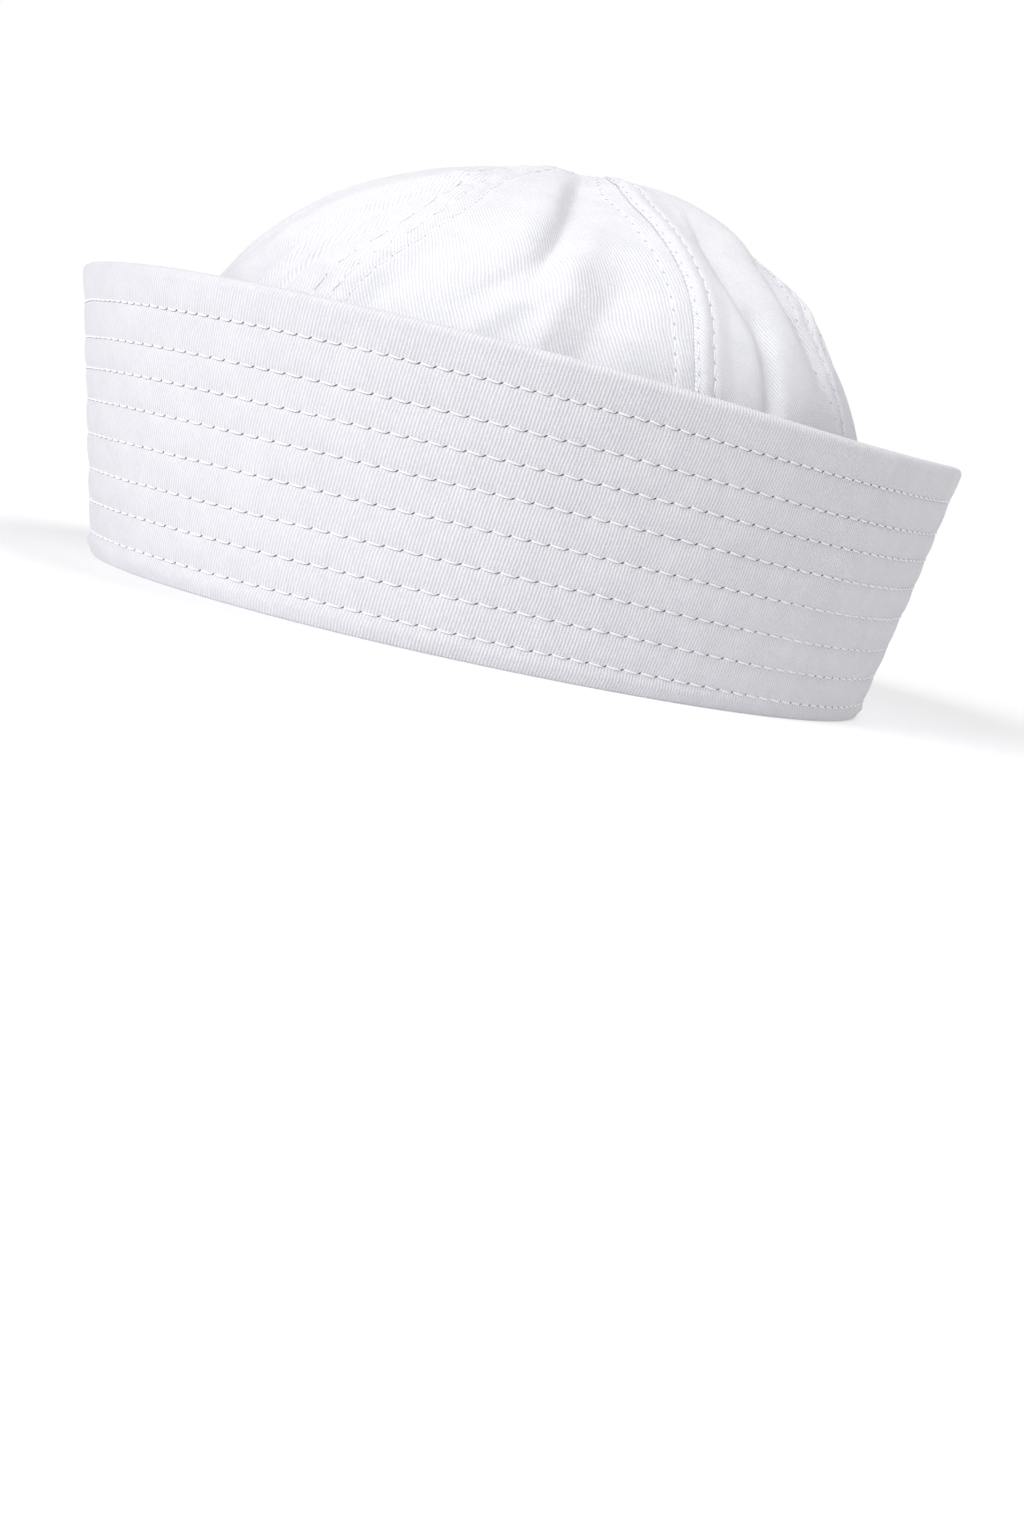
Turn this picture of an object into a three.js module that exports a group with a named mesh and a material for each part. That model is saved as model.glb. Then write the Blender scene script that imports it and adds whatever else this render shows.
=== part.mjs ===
// Sailor cap: a turned-up brim and a crown of six sewn panels.
// Millimetres, +Z up, the origin under the middle of the cap on the surface it rests on, the front towards
// -Y.
import * as THREE from "three";

// Outside of the brim at its bottom fold: half its length (front to back) and half its width.
const HALF_LENGTH = 100;
const HALF_WIDTH = 88;

// Brim: height, how far its top stands out past the bottom at the front and at the side, and its cloth.
const BRIM_HEIGHT = 62;
const FLARE_FRONT = 14;
const FLARE_SIDE = 9.5;
const BRIM_WALL = 2.6;
const BRIM_STEPS = 90;
const BRIM_ROWS = [0.16, 0.36, 0.58, 0.8];
const RIM_STEPS = 4;

// Hem under the brim: the cloth is turned in round the base of the crown.
const HEM_FLOOR = 1.2;
const HEM_WALL = 1;
const HEM_HEIGHT = 8;
const HEM_ROUNDING = 1.6;

// Bottom fold of the brim, from its underside to its outside: shares of the rounding, in from the outside
// and up.
const HEM_CURVE = [
  { inward: 1, up: 0 },
  { inward: 0.3, up: 0.5 },
  { inward: 0, up: 1.4 },
];

// Crown: height of its top, how far the top leans to the side and back, the thickness of its cloth, and the
// clearance between layers.
const CROWN_HEIGHT = 107;
const LEAN_SIDE = 1.5;
const LEAN_BACK = 1;
const CROWN_WALL = 1;
const CLOTH_GAP = 0.3;
const CURVE_GAP = 0.1;
const CROWN_TOP_HOLE = 2.5;

// Felled seam between two panels: the next panel laps over the edge of the one before it.
const LAP_WIDTH = 4.5;
const LAP_RAMP = 1.6;
const LAP_BACK = 0.8;
const PANEL_STEPS = 11;
const PILLOW = 1;

// Bearing from the front of each seam, where the panel with that number begins.
const SEAMS = [
  { panel: 1, bearing: 0 },
  { panel: 2, bearing: 60 },
  { panel: 3, bearing: 107 },
  { panel: 4, bearing: 177 },
  { panel: 5, bearing: 239 },
  { panel: 6, bearing: 300 },
];

// Height of the brim's top edge round the cap: bearing from the front, and lift as a share of the brim's
// height.
const RIM = [
  { bearing: 0, lift: -0.01 },
  { bearing: 40, lift: -0.024 },
  { bearing: 80, lift: -0.045 },
  { bearing: 120, lift: 0.002 },
  { bearing: 160, lift: 0.06 },
  { bearing: 200, lift: 0.06 },
  { bearing: 240, lift: 0.03 },
  { bearing: 280, lift: 0 },
  { bearing: 320, lift: -0.013 },
];

// Outline of the crown from its base to its top: shares of the crown height and of its width at the base.
const CROWN = [
  { height: 0.014, width: 1 },
  { height: 0.09, width: 0.998 },
  { height: 0.22, width: 0.98 },
  { height: 0.4, width: 0.93 },
  { height: 0.57, width: 0.866 },
  { height: 0.68, width: 0.796 },
  { height: 0.755, width: 0.722 },
  { height: 0.815, width: 0.645 },
  { height: 0.866, width: 0.56 },
  { height: 0.91, width: 0.465 },
  { height: 0.945, width: 0.36 },
  { height: 0.974, width: 0.245 },
  { height: 0.993, width: 0.12 },
  { height: 1, width: 0 },
];

// Rows of the panel grid: share of the way up the crown's cloth, and how much of the lap there is.
const ROWS = [
  { way: 0, lift: 0, lap: 0 },
  { way: 0.05, lift: 0, lap: 0 },
  { way: 0.085, lift: 1, lap: 0 },
  { way: 0.14, lift: 1, lap: 1 },
  { way: 0.24, lift: 1, lap: 1 },
  { way: 0.34, lift: 1, lap: 1 },
  { way: 0.4, lift: 1, lap: 1 },
  { way: 0.46, lift: 1, lap: 1 },
  { way: 0.52, lift: 1, lap: 1 },
  { way: 0.58, lift: 1, lap: 1 },
  { way: 0.64, lift: 1, lap: 1 },
  { way: 0.7, lift: 1, lap: 1 },
  { way: 0.76, lift: 1, lap: 1 },
  { way: 0.82, lift: 1, lap: 1 },
  { way: 0.87, lift: 1, lap: 0.7 },
  { way: 0.91, lift: 1, lap: 0.4 },
  { way: 0.945, lift: 1, lap: 0 },
  { way: 0.97, lift: 0, lap: 0 },
  { way: 1, lift: 0, lap: 0 },
];

// Soft folds of the crown. Bearing from the front and distance from the top, as a share of the half width,
// place the middle; turn is the crease's angle from the line to the top; reach, spread and depth are shares
// of the crown height, and a depth below nothing is a dent.
const FOLDS = [
  { bearing: 34, from_top: 0.48, turn: 0, reach: 0.2, spread: 0.075, depth: -0.03 },
  { bearing: 44, from_top: 0.64, turn: 4, reach: 0.2, spread: 0.1, depth: -0.012 },
  { bearing: 22, from_top: 0.82, turn: -14, reach: 0.17, spread: 0.07, depth: -0.013 },
  { bearing: 46, from_top: 0.94, turn: -14, reach: 0.17, spread: 0.07, depth: -0.015 },
  { bearing: 39, from_top: 0.76, turn: -5, reach: 0.16, spread: 0.07, depth: 0.009 },
  { bearing: 73, from_top: 0.66, turn: -4, reach: 0.2, spread: 0.075, depth: -0.014 },
  { bearing: 77, from_top: 0.98, turn: 0, reach: 0.16, spread: 0.075, depth: -0.02 },
  { bearing: 95, from_top: 0.8, turn: 0, reach: 0.19, spread: 0.075, depth: 0.01 },
  { bearing: 98, from_top: 0.6, turn: 6, reach: 0.14, spread: 0.075, depth: -0.01 },
  { bearing: 346, from_top: 0.95, turn: 28, reach: 0.2, spread: 0.075, depth: -0.013 },
  { bearing: 318, from_top: 0.7, turn: 10, reach: 0.2, spread: 0.09, depth: -0.01 },
  { bearing: 210, from_top: 0.6, turn: -8, reach: 0.25, spread: 0.09, depth: -0.02 },
  { bearing: 272, from_top: 0.75, turn: 12, reach: 0.2, spread: 0.09, depth: -0.014 },
];

// Finish of the two cloths.
const BRIM_WHITE = 0xf2f1f6;
const CROWN_WHITE = 0xf4f4f9;
const CLOTH_ROUGHNESS = 0.9;

// Fineness of the searches: halvings along the rim, divisions of the crown's outline, and the step for
// a slope.
const RIM_HALVINGS = 30;
const LINE_DIVISIONS = 400;
const SLOPE_STEP = 0.002;

const DEGREE = Math.PI / 180;
const TURN = 2 * Math.PI;
const CROWN_INSET = BRIM_WALL + CLOTH_GAP;
const HEM_OUTSIDE = CROWN_INSET + CROWN_WALL + CLOTH_GAP + CURVE_GAP;
const HEM_INSIDE = HEM_OUTSIDE + HEM_WALL;
const LAP_LIFT = CROWN_WALL + CLOTH_GAP;
const BASE_LENGTH = HALF_LENGTH - CROWN_INSET;
const BASE_WIDTH = HALF_WIDTH - CROWN_INSET;
const BASE_MEAN = (BASE_LENGTH + BASE_WIDTH) / 2;

// A smooth closed curve through the rim table, by bearing in radians.
const rimRound = new THREE.CatmullRomCurve3(
  RIM.map((row) => new THREE.Vector3(row.bearing, row.lift, 0)).concat(
    [new THREE.Vector3(360, RIM[0].lift, 0)],
  ),
  false,
  "centripetal",
);

function brimHeight(bearing) {
  const round = (((bearing / DEGREE) % 360) + 360) % 360;
  let low = 0;
  let high = 1;
  for (let step = 0; step < RIM_HALVINGS; step += 1) {
    const middle = (low + high) / 2;
    if (rimRound.getPoint(middle).x < round) low = middle;
    else high = middle;
  }
  return BRIM_HEIGHT * (1 + rimRound.getPoint(low).y);
}

// A point of the brim: out is the offset from the bottom fold's outside, rise the share of the brim's
// height.
function brimPoint(bearing, out, rise, extra) {
  const side = HALF_WIDTH + out + FLARE_SIDE * rise;
  const front = HALF_LENGTH + out + FLARE_FRONT * rise;
  const height = brimHeight(bearing) * rise + extra;
  return new THREE.Vector3(side * Math.sin(bearing), -front * Math.cos(bearing), height);
}

// Section of the brim: up the outside, over the top fold, down the inside, and round the hem.
function brimSection() {
  const section = HEM_CURVE.map((row) => (
    { out: -HEM_ROUNDING * row.inward, rise: 0, extra: HEM_ROUNDING * row.up }
  ));
  const round = BRIM_WALL / 2;
  BRIM_ROWS.forEach((rise) => section.push({ out: 0, rise, extra: 0 }));
  for (let step = 0; step <= RIM_STEPS; step += 1) {
    const angle = (Math.PI * step) / RIM_STEPS;
    section.push({
      out: round * Math.cos(angle) - round,
      rise: 1,
      extra: round * Math.sin(angle) - round,
    });
  }
  BRIM_ROWS.toReversed().forEach((rise) => section.push({ out: -BRIM_WALL, rise, extra: 0 }));
  section.push({ out: -BRIM_WALL, rise: 0, extra: HEM_FLOOR });
  section.push({ out: -HEM_OUTSIDE, rise: 0, extra: HEM_FLOOR });
  section.push({ out: -HEM_OUTSIDE, rise: 0, extra: HEM_HEIGHT - HEM_WALL / 2 });
  section.push({ out: -(HEM_OUTSIDE + HEM_INSIDE) / 2, rise: 0, extra: HEM_HEIGHT });
  section.push({ out: -HEM_INSIDE, rise: 0, extra: HEM_HEIGHT - HEM_WALL / 2 });
  section.push({ out: -HEM_INSIDE, rise: 0, extra: HEM_WALL });
  section.push({ out: -HEM_INSIDE + HEM_WALL / 2, rise: 0, extra: 0 });
  return section;
}

// The crown's outline as one smooth curve, and its length over the middle of the cloth.
const crownLine = new THREE.SplineCurve(
  CROWN.map((row) => new THREE.Vector2(row.width * BASE_MEAN, row.height * CROWN_HEIGHT)),
);
crownLine.arcLengthDivisions = LINE_DIVISIONS;
const CROWN_REACH = crownLine.getLength() - CROWN_TOP_HOLE;

function crownRing(way) {
  const share = Math.min((way * CROWN_REACH) / crownLine.getLength(), 1);
  const point = crownLine.getPointAt(share);
  return { width: point.x / BASE_MEAN, height: point.y, lean: point.y / CROWN_HEIGHT };
}

function crownBase(bearing, way) {
  const ring = crownRing(way);
  return new THREE.Vector3(
    BASE_WIDTH * ring.width * Math.sin(bearing) + LEAN_SIDE * ring.lean ** 2,
    -BASE_LENGTH * ring.width * Math.cos(bearing) + LEAN_BACK * ring.lean ** 2,
    ring.height,
  );
}

// 0 at a seam and 1 midway between two seams.
function betweenSeams(bearing) {
  const round = (((bearing / DEGREE) % 360) + 360) % 360;
  const index = SEAMS.findLastIndex((seam) => seam.bearing <= round);
  const from = SEAMS[index].bearing;
  const to = index + 1 < SEAMS.length ? SEAMS[index + 1].bearing : 360;
  return Math.sin((Math.PI * (round - from)) / (to - from));
}

// How far the folds push the cloth out or in at a place of the crown.
function foldOffset(bearing, way) {
  const distance = crownLine.getLength() - way * CROWN_REACH;
  const x = distance * Math.sin(bearing);
  const y = distance * Math.cos(bearing);
  let offset = 0;
  FOLDS.forEach((fold) => {
    const middle = fold.from_top * BASE_WIDTH;
    const toward = fold.bearing * DEGREE;
    const crease = toward + fold.turn * DEGREE;
    const dx = x - middle * Math.sin(toward);
    const dy = y - middle * Math.cos(toward);
    const along = (dx * Math.sin(crease) + dy * Math.cos(crease)) / (fold.reach * CROWN_HEIGHT);
    const across = (dx * Math.cos(crease) - dy * Math.sin(crease)) / (fold.spread * CROWN_HEIGHT);
    offset += fold.depth * CROWN_HEIGHT * Math.exp(-along * along - across * across);
  });
  return offset + PILLOW * betweenSeams(bearing) ** 2 * Math.sin(Math.PI * way) ** 2;
}

function crownNormal(bearing, way) {
  const low = Math.min(Math.max(way, SLOPE_STEP), 1 - SLOPE_STEP);
  const round = crownBase(bearing + SLOPE_STEP, low).sub(crownBase(bearing - SLOPE_STEP, low));
  const up = crownBase(bearing, low + SLOPE_STEP).sub(crownBase(bearing, low - SLOPE_STEP));
  return round.cross(up).normalize();
}

// A point of a panel's cloth, lifted off the crown's shape by the lap, and depth below its outside.
function crownPoint(bearing, way, lift, depth) {
  const offset = foldOffset(bearing, way) + lift - depth;
  return crownBase(bearing, way).addScaledVector(crownNormal(bearing, way), offset);
}

// Angle at a place of the crown that covers a distance across the cloth.
function crownAngle(bearing, way, distance) {
  const ring = crownRing(way);
  const side = BASE_WIDTH * ring.width * Math.cos(bearing);
  const front = BASE_LENGTH * ring.width * Math.sin(bearing);
  return distance / Math.hypot(side, front);
}

// A closed body from two matching grids of points, the first one outside.
function shell(outside, inside, name, colour) {
  const rows = outside.length;
  const columns = outside[0].length;
  const places = [];
  const faces = [];
  [outside, inside].forEach((grid) => grid.forEach((row) => row.forEach((p) => places.push(p.x, p.y, p.z))));
  const at = (layer, row, column) => (layer * rows + row) * columns + column;
  const quad = (a, b, c, d) => faces.push(a, b, c, a, c, d);
  for (let r = 0; r + 1 < rows; r += 1) {
    for (let c = 0; c + 1 < columns; c += 1) {
      quad(at(0, r, c), at(0, r, c + 1), at(0, r + 1, c + 1), at(0, r + 1, c));
      quad(at(1, r, c), at(1, r + 1, c), at(1, r + 1, c + 1), at(1, r, c + 1));
    }
    quad(at(0, r, 0), at(0, r + 1, 0), at(1, r + 1, 0), at(1, r, 0));
    quad(at(0, r, columns - 1), at(1, r, columns - 1), at(1, r + 1, columns - 1), at(0, r + 1, columns - 1));
  }
  for (let c = 0; c + 1 < columns; c += 1) {
    quad(at(0, 0, c), at(1, 0, c), at(1, 0, c + 1), at(0, 0, c + 1));
    quad(at(0, rows - 1, c), at(0, rows - 1, c + 1), at(1, rows - 1, c + 1), at(1, rows - 1, c));
  }
  return body(places, faces, name, colour);
}

function body(places, faces, name, colour) {
  const geometry = new THREE.BufferGeometry();
  geometry.setAttribute("position", new THREE.Float32BufferAttribute(places, 3));
  geometry.setIndex(faces);
  geometry.computeVertexNormals();
  const cloth = new THREE.MeshStandardMaterial({ color: colour, roughness: CLOTH_ROUGHNESS });
  const mesh = new THREE.Mesh(geometry, cloth);
  mesh.name = name;
  return mesh;
}

function makeBrim() {
  const section = brimSection();
  const count = section.length;
  const places = [];
  const faces = [];
  for (let step = 0; step < BRIM_STEPS; step += 1) {
    const bearing = (TURN * step) / BRIM_STEPS;
    section.forEach((row) => {
      const p = brimPoint(bearing, row.out, row.rise, row.extra);
      places.push(p.x, p.y, p.z);
    });
  }
  for (let step = 0; step < BRIM_STEPS; step += 1) {
    const next = (step + 1) % BRIM_STEPS;
    for (let row = 0; row < count; row += 1) {
      const above = (row + 1) % count;
      const a = step * count + row;
      const b = next * count + row;
      const c = next * count + above;
      const d = step * count + above;
      faces.push(a, b, c, a, c, d);
    }
  }
  return body(places, faces, "brim", BRIM_WHITE);
}

// One panel: its first edge is lifted over the panel before it, its last edge runs under the next one.
function makePanel(number) {
  const first = SEAMS[number - 1].bearing * DEGREE;
  const last = number < SEAMS.length ? SEAMS[number].bearing * DEGREE : TURN;
  const grid = (depth) => ROWS.map((row) => {
    const lap = LAP_WIDTH * row.lap;
    const edge = crownAngle(first, row.way, lap + CLOTH_GAP);
    const ramp = crownAngle(first, row.way, LAP_RAMP * row.lift + CLOTH_GAP);
    const back = last - crownAngle(last, row.way, LAP_BACK);
    const end = last + crownAngle(last, row.way, lap - CLOTH_GAP);
    const line = [
      crownPoint(first, row.way, LAP_LIFT * row.lift, depth),
      crownPoint(first + edge, row.way, LAP_LIFT * row.lift, depth),
    ];
    const start = first + edge + ramp;
    for (let step = 0; step <= PANEL_STEPS; step += 1) {
      const bearing = start + ((back - start) * step) / PANEL_STEPS;
      line.push(crownPoint(bearing, row.way, 0, depth));
    }
    line.push(crownPoint(end, row.way, 0, depth));
    return line;
  });
  return shell(grid(0), grid(CROWN_WALL), `crown_panel_${number}`, CROWN_WHITE);
}

const cap = new THREE.Group();
cap.name = "sailor_cap";
cap.add(makeBrim());
SEAMS.forEach((seam) => cap.add(makePanel(seam.panel)));

export default cap;
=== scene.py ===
# %% [markdown]
# # A sailor cap
#
# The cap is white cotton twill: a brim of several layers, quilted with rows of stitching and turned up
# all round, and a crown of six wedges joined by felled seams. The solid parts come packed as a frame, in
# metres. Every piece made here stands where its solid stands, and has the folds, seams and thread that a
# solid leaves out.

# %% Load the frame
import math

import bmesh
import bpy
from mathutils import Matrix, Vector, noise


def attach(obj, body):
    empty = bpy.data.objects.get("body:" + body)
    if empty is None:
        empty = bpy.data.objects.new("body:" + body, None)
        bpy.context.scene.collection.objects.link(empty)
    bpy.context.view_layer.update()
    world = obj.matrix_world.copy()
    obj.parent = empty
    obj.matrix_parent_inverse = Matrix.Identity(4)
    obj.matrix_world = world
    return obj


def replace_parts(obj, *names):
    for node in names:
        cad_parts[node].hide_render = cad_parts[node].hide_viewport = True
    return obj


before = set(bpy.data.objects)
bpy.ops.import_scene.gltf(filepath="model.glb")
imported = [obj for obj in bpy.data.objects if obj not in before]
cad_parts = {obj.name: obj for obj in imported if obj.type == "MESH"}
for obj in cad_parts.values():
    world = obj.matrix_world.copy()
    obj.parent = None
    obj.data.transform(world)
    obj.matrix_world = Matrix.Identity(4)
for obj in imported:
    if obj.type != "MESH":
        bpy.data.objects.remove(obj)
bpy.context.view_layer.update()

MM = 0.001
print("nodes:", ", ".join(sorted(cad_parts)))

# %% [markdown]
# ## Camera
#
# The picture was taken from a little above the surface, to the left of the cap's front, with the camera
# rolled, so that the cap stands tilted in it. A camera is placed with its distance, bearing and height,
# and then turned about three axes in the order in which a photographer would: pan, tilt and roll.

# %% The camera
CAMERA_DISTANCE = 500 * MM
CAMERA_BEARING = 34
CAMERA_HEIGHT = 35.6 * MM
CAMERA_PAN = 1.56
CAMERA_TILT = -7.56
CAMERA_ROLL = 12.88
LENS = 49.1


def compass(bearing):
    """The level direction at a bearing in degrees, from the front (-Y) towards +X."""
    angle = math.radians(bearing)
    return Vector((math.sin(angle), -math.cos(angle), 0))


def make_camera():
    """The camera at the picture's place, turned the way the picture was taken."""
    data = bpy.data.cameras.new("camera")
    data.lens = LENS
    data.sensor_width = 36
    data.clip_start = 0.01
    data.clip_end = 100
    camera = bpy.data.objects.new("camera", data)
    bpy.context.scene.collection.objects.link(camera)
    level = -compass(CAMERA_BEARING)
    right = level.cross(Vector((0, 0, 1)))
    turn = Matrix.Rotation(math.radians(-CAMERA_PAN), 3, "Z")
    ahead = turn @ level
    right = turn @ right
    tilt = Matrix.Rotation(math.radians(CAMERA_TILT), 3, right)
    ahead = tilt @ ahead
    above = right.cross(ahead)
    roll = Matrix.Rotation(math.radians(-CAMERA_ROLL), 3, ahead)
    right = roll @ right
    above = roll @ above
    place = compass(CAMERA_BEARING) * CAMERA_DISTANCE + Vector((0, 0, CAMERA_HEIGHT))
    axes = Matrix((right, above, -ahead)).transposed().to_4x4()
    camera.matrix_world = Matrix.Translation(place) @ axes
    bpy.context.scene.camera = camera
    return camera


camera = make_camera()
print("camera", [round(value / MM) for value in camera.location], "mm")

# %% [markdown]
# ## Smooth lines through a few rows
#
# A pattern cutter draws a smooth curve through a few marks. Each table below holds such marks as shares
# of a named size, and one function draws the curve between them, so no long list of points is needed.


# %% A smooth curve through the rows of a table
def through(rows, place, closed=0):
    """The value at a place on a smooth curve through (place, value) rows. closed: the length of a round."""
    count = len(rows)
    if closed:
        place %= closed
        rows = [(x - closed, y) for x, y in rows[-2:]] + rows + [(x + closed, y) for x, y in rows[:2]]
        count += 4
    last = 1
    while last < count - 1 and rows[last][0] < place:
        last += 1
    (x0, y0), (x1, y1) = rows[max(last - 2, 0)], rows[last - 1]
    (x2, y2), (x3, y3) = rows[last], rows[min(last + 1, count - 1)]
    share = min(max((place - x1) / (x2 - x1), 0), 1)
    enter = (y2 - y0) / (x2 - x0) * (x2 - x1)
    leave = (y3 - y1) / (x3 - x1) * (x2 - x1)
    a = 2 * (y1 - y2) + enter + leave
    b = -3 * (y1 - y2) - 2 * enter - leave
    return ((a * share + b) * share + enter) * share + y1


def fade(low, high, value):
    """0 below low, 1 above high, and a smooth rise between them."""
    share = min(max((value - low) / (high - low), 0), 1)
    return share * share * (3 - 2 * share)


def bell(distance, width):
    """1 at distance 0, falling softly to almost nothing at twice the width."""
    return math.exp(-((distance / width) ** 2))


print("fade and bell, half way:", fade(0, 1, 0.5), round(bell(0.5, 1), 2))

# %% [markdown]
# ## The brim's form
#
# The brim is cut as a flat arc, so sewn into a ring it is a low cone: narrower at the bottom fold than at
# the rim. Its ring is an oval. The solid's own sizes are used here, and the rim's small rise to the back
# is a table of bearings. A point of the cloth is then given by bearing, share of the height and offset
# from the outside.

# %% Sizes of the brim
HALF_LENGTH = 100 * MM
HALF_WIDTH = 88 * MM
BRIM_HEIGHT = 62 * MM
FLARE_FRONT = 14 * MM
FLARE_SIDE = 9.5 * MM
BRIM_WALL = 2.6 * MM
RIM = [
    # bearing, rise of the rim as a share of the brim's height
    (0, -0.01),
    (40, -0.024),
    (80, -0.045),
    (120, 0.002),
    (160, 0.06),
    (200, 0.06),
    (240, 0.03),
    (280, 0.0),
    (320, -0.013),
]


def rim_height(bearing):
    """Height of the brim's rim at a bearing in degrees."""
    return BRIM_HEIGHT * (1 + through(RIM, bearing, closed=360))


def brim_place(bearing, rise, out=0.0, lift=0.0):
    """A point of the brim, from its share of the height, an offset outwards and a height added to it."""
    angle = math.radians(bearing)
    side = HALF_WIDTH + out + FLARE_SIDE * rise
    front = HALF_LENGTH + out + FLARE_FRONT * rise
    return Vector((side * math.sin(angle), -front * math.cos(angle), rim_height(bearing) * rise + lift))


print("height of the rim at the front and the back:", [round(rim_height(turn) / MM, 1) for turn in (0, 180)])

# %% [markdown]
# ## Quilting the brim
#
# Eight rows of machine stitching hold the layers together. Each row draws the cloth in, and the layers
# stand up softly between rows. This relief could be a bump in the material, but the brim's outline shows
# it as notches, so it is real relief: an offset of the cloth that depends on the distance to the rows
# near it.

# %% Relief of the brim's cloth
QUILT_ROWS = [
    # share of the brim's height, stitches in the round
    (0.084, 153),
    (0.194, 155),
    (0.305, 157),
    (0.426, 160),
    (0.542, 162),
    (0.649, 165),
    (0.752, 167),
    (0.874, 200),
]
GROOVE_DEPTH = 0.3 * MM
GROOVE_WIDTH = 0.75 * MM
HOLLOW_DEPTH = 0.22 * MM
HOLLOW_WIDTH = 2.4 * MM
ROW_REACH = 6 * MM
TUG = 0.25
JOIN_BEARING = 180
LOW_DIP = 0.027
LOW_DIP_BEARING = 94
LOW_DIP_SPREAD = 30
HIGH_DIP = 0.011
HIGH_DIP_BEARING = -52
HIGH_DIP_SPREAD = 18
FOLD_ROLL = 0.45 * MM
FOLD_ROLL_HEIGHT = 2.2 * MM
FOLD_ROLL_WIDTH = 1.8 * MM


def from_bearing(bearing, middle):
    """Degrees from one bearing to another, -180 to 180."""
    return (bearing - middle + 180) % 360 - 180


def row_rise(row, bearing):
    """Share of the height of a row at a bearing: low rows dip at one side, high ones at the other."""
    low = LOW_DIP * (1 - row * row) * bell(from_bearing(bearing, LOW_DIP_BEARING), LOW_DIP_SPREAD)
    high = HIGH_DIP * row * row * bell(from_bearing(bearing, HIGH_DIP_BEARING), HIGH_DIP_SPREAD)
    return row - low - high


def quilt(bearing, rise):
    """How far the stitching draws the cloth in, and the bottom fold rolls out below the lowest row."""
    relief = FOLD_ROLL * bell(rise * BRIM_HEIGHT - FOLD_ROLL_HEIGHT, FOLD_ROLL_WIDTH)
    for row, stitches in QUILT_ROWS:
        distance = (rise - row_rise(row, bearing)) * BRIM_HEIGHT
        if abs(distance) > ROW_REACH:
            continue
        tug = 1 - TUG + TUG * math.cos(math.radians(bearing - JOIN_BEARING) * stitches)
        relief -= GROOVE_DEPTH * tug * bell(distance, GROOVE_WIDTH)
        relief -= HOLLOW_DEPTH * bell(distance, HOLLOW_WIDTH)
    return relief


print("rows of stitching:", len(QUILT_ROWS), "with", sum(row[1] for row in QUILT_ROWS), "stitches")

# %% [markdown]
# ## An uneven cone
#
# Cloth is never a true cone. Slow noise makes the wall wander by a fraction of a millimetre, finer noise
# between the folds keeps the light on it alive, and at one bearing the whole wall leans out a little.
# Noise is read on a circle, so its two ends meet.

# %% Slow unevenness of the brim
SLOW_WAVE = 0.7 * MM
SLOW_TURNS = 2.4
SLOW_RISE = 1.1
FINE_WAVE = 0.22 * MM
FINE_TURNS = 11
FINE_RISE = 9
FINE_PLACE = Vector((4, 0, 0))
BRIM_LEAN = 1.3 * MM
BRIM_LEAN_BEARING = -52
BRIM_LEAN_SPREAD = 30


def brim_wave(bearing, rise):
    """How far the wall stands out of its cone."""
    up = Vector((0, 0, rise))
    slow = noise.noise(compass(bearing) * SLOW_TURNS + up * SLOW_RISE)
    fine = noise.noise(compass(bearing) * FINE_TURNS + up * FINE_RISE + FINE_PLACE)
    ends = math.sin(math.pi * min(max(rise, 0), 1))
    lean = BRIM_LEAN * bell(from_bearing(bearing, BRIM_LEAN_BEARING), BRIM_LEAN_SPREAD) * rise
    return SLOW_WAVE * slow * (0.4 + 0.6 * rise) + FINE_WAVE * fine * ends + lean


print("the rim stands out by", [round(brim_wave(turn, 1) / MM, 2) for turn in range(-90, 91, 30)], "mm")


# %% [markdown]
# ## The brim
#
# The brim is one section carried all round. The section goes up the outside, over the rim, down the
# inside, and round the hem that takes the base of the crown. A long grid is the quickest start: its
# columns go round the cap and its rows follow the section, and once it is bent to its place its open
# edges are merged.

# %% Section of the brim
HEM_FLOOR = 1.2 * MM
HEM_WALL = 1 * MM
HEM_HEIGHT = 8 * MM
HEM_OUTSIDE = 4.3 * MM
HEM_ROUNDING = 1 * MM
BRIM_STEPS = 860
RIM_STEPS = 8
RIM_ROUND = 1.85 * MM
RIM_PUFF_START = 0.92
EDGE_RELIEF = 0.3
PLAIN_SHARES = (0.035, 0.91, 0.94, 0.965)
OUTSIDE_STEPS = (-1.7, -0.8, -0.3, 0.3, 0.8, 1.7)
INSIDE_STEPS = (-0.8, 0, 0.8)


def wall_shares(steps):
    """Shares of the height for the rows of a wall: close together at the stitching, wide between it."""
    rows = [row for row, _ in QUILT_ROWS]
    shares = set(PLAIN_SHARES)
    shares.update(row + step * MM / BRIM_HEIGHT for row in rows for step in steps)
    shares.update((a + b) / 2 for a, b in zip(rows, rows[1:]))
    return sorted(shares)


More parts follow.
